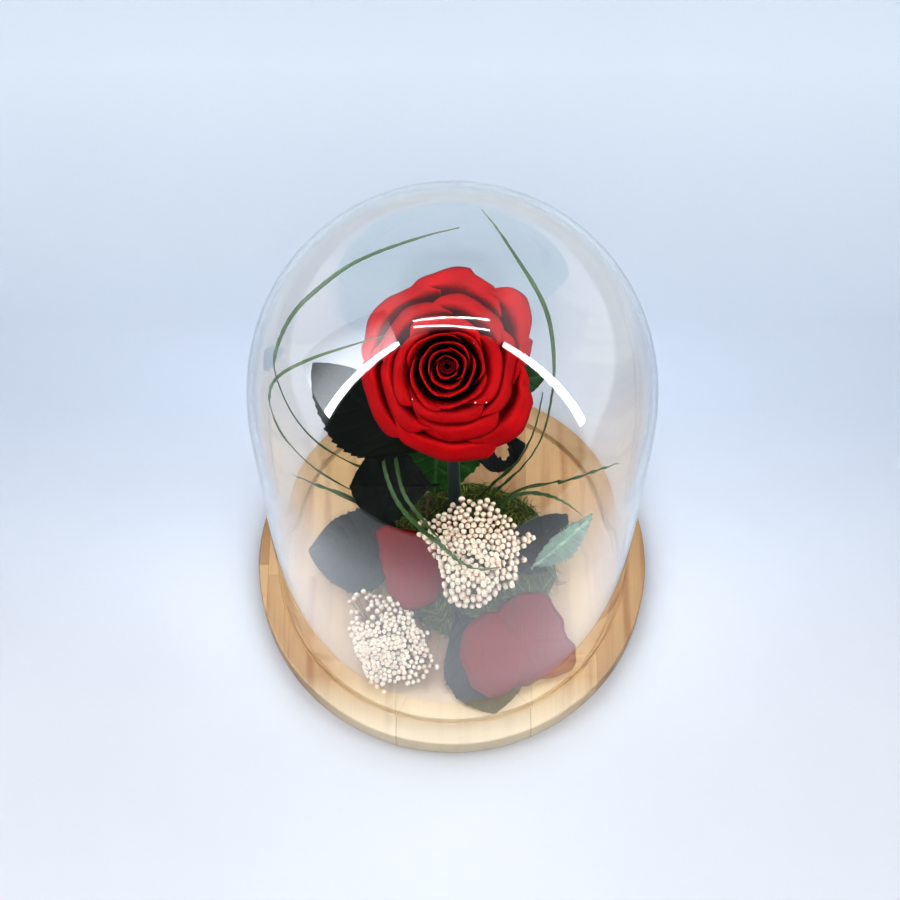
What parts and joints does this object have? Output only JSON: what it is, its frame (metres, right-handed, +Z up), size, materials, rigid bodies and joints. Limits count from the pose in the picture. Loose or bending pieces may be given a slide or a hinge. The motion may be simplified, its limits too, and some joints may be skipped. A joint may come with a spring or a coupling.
{
  "type": "preserved rose in a glass dome",
  "caption": "Preserved red rose on its stem under a clear glass dome, with dark leaves, grass blades, moss, dried bud clusters and loose petals on a round wooden board.",
  "frame": {"origin": "centre of the wooden board's underside", "axes": "+Z up along the dome's axis, -Y towards the front, where the rose leans and the loose petals lie, +X to the right seen from the front"},
  "size_m": [0.15, 0.15, 0.2225],
  "materials": {
    "pine": "fine sanded, clear matt varnish, glued strips",
    "clear_glass": "polished, clear",
    "rose_petal": "velvety, dull",
    "loose_petal": "velvety, dull",
    "sepal": "dull",
    "stem_bark": "satin, dyed dark green",
    "twig_bark": "dry bark",
    "leaf_dark": "satin, dyed nearly black",
    "leaf_green": "satin",
    "leaf_pale": "dull, greyish",
    "moss": "fibrous, dry",
    "grass": "satin",
    "dried_buds": "papery, dull"
  },
  "bodies": {
    "root": {"base_board": "pine", "calyx": "sepal", "dry_twig": "twig_bark", "fallen_petal_left": "loose_petal", "fallen_petal_right": "loose_petal", "glass_dome": "clear_glass", "grass_blade_01": "grass", "grass_blade_02": "grass", "grass_blade_03": "grass", "grass_blade_04": "grass", "grass_blade_05": "grass", "grass_blade_06": "grass", "grass_blade_07": "grass", "grass_blade_08": "grass", "grass_blade_09": "grass", "leaf_behind_stem": "leaf_green", "leaf_lower_left": "leaf_dark", "leaf_on_board_front": "leaf_dark", "leaf_on_board_left": "leaf_dark", "leaf_on_board_right": "leaf_dark", "leaf_pale_right": "leaf_pale", "leaf_right_of_rose": "leaf_green", "leaf_upper_left": "leaf_dark", "leaf_with_hole": "leaf_dark", "moss_mound": "moss", "rice_flower_centre": "dried_buds", "rice_flower_left": "dried_buds", "rose_petal_01": "rose_petal", "rose_petal_02": "rose_petal", "rose_petal_03": "rose_petal", "rose_petal_04": "rose_petal", "rose_petal_05": "rose_petal", "rose_petal_06": "rose_petal", "rose_petal_07": "rose_petal", "rose_petal_08": "rose_petal", "rose_petal_09": "rose_petal", "rose_petal_10": "rose_petal", "rose_petal_11": "rose_petal", "rose_petal_12": "rose_petal", "rose_petal_13": "rose_petal", "rose_petal_14": "rose_petal", "rose_petal_15": "rose_petal", "rose_petal_16": "rose_petal", "rose_petal_17": "rose_petal", "rose_petal_18": "rose_petal", "rose_petal_19": "rose_petal", "rose_petal_20": "rose_petal", "rose_petal_21": "rose_petal", "rose_petal_22": "rose_petal", "rose_petal_23": "rose_petal", "rose_petal_24": "rose_petal", "rose_petal_25": "rose_petal", "rose_petal_26": "rose_petal", "rose_petal_27": "rose_petal", "rose_petal_28": "rose_petal", "stem": "stem_bark"}
  },
  "joints": []
}
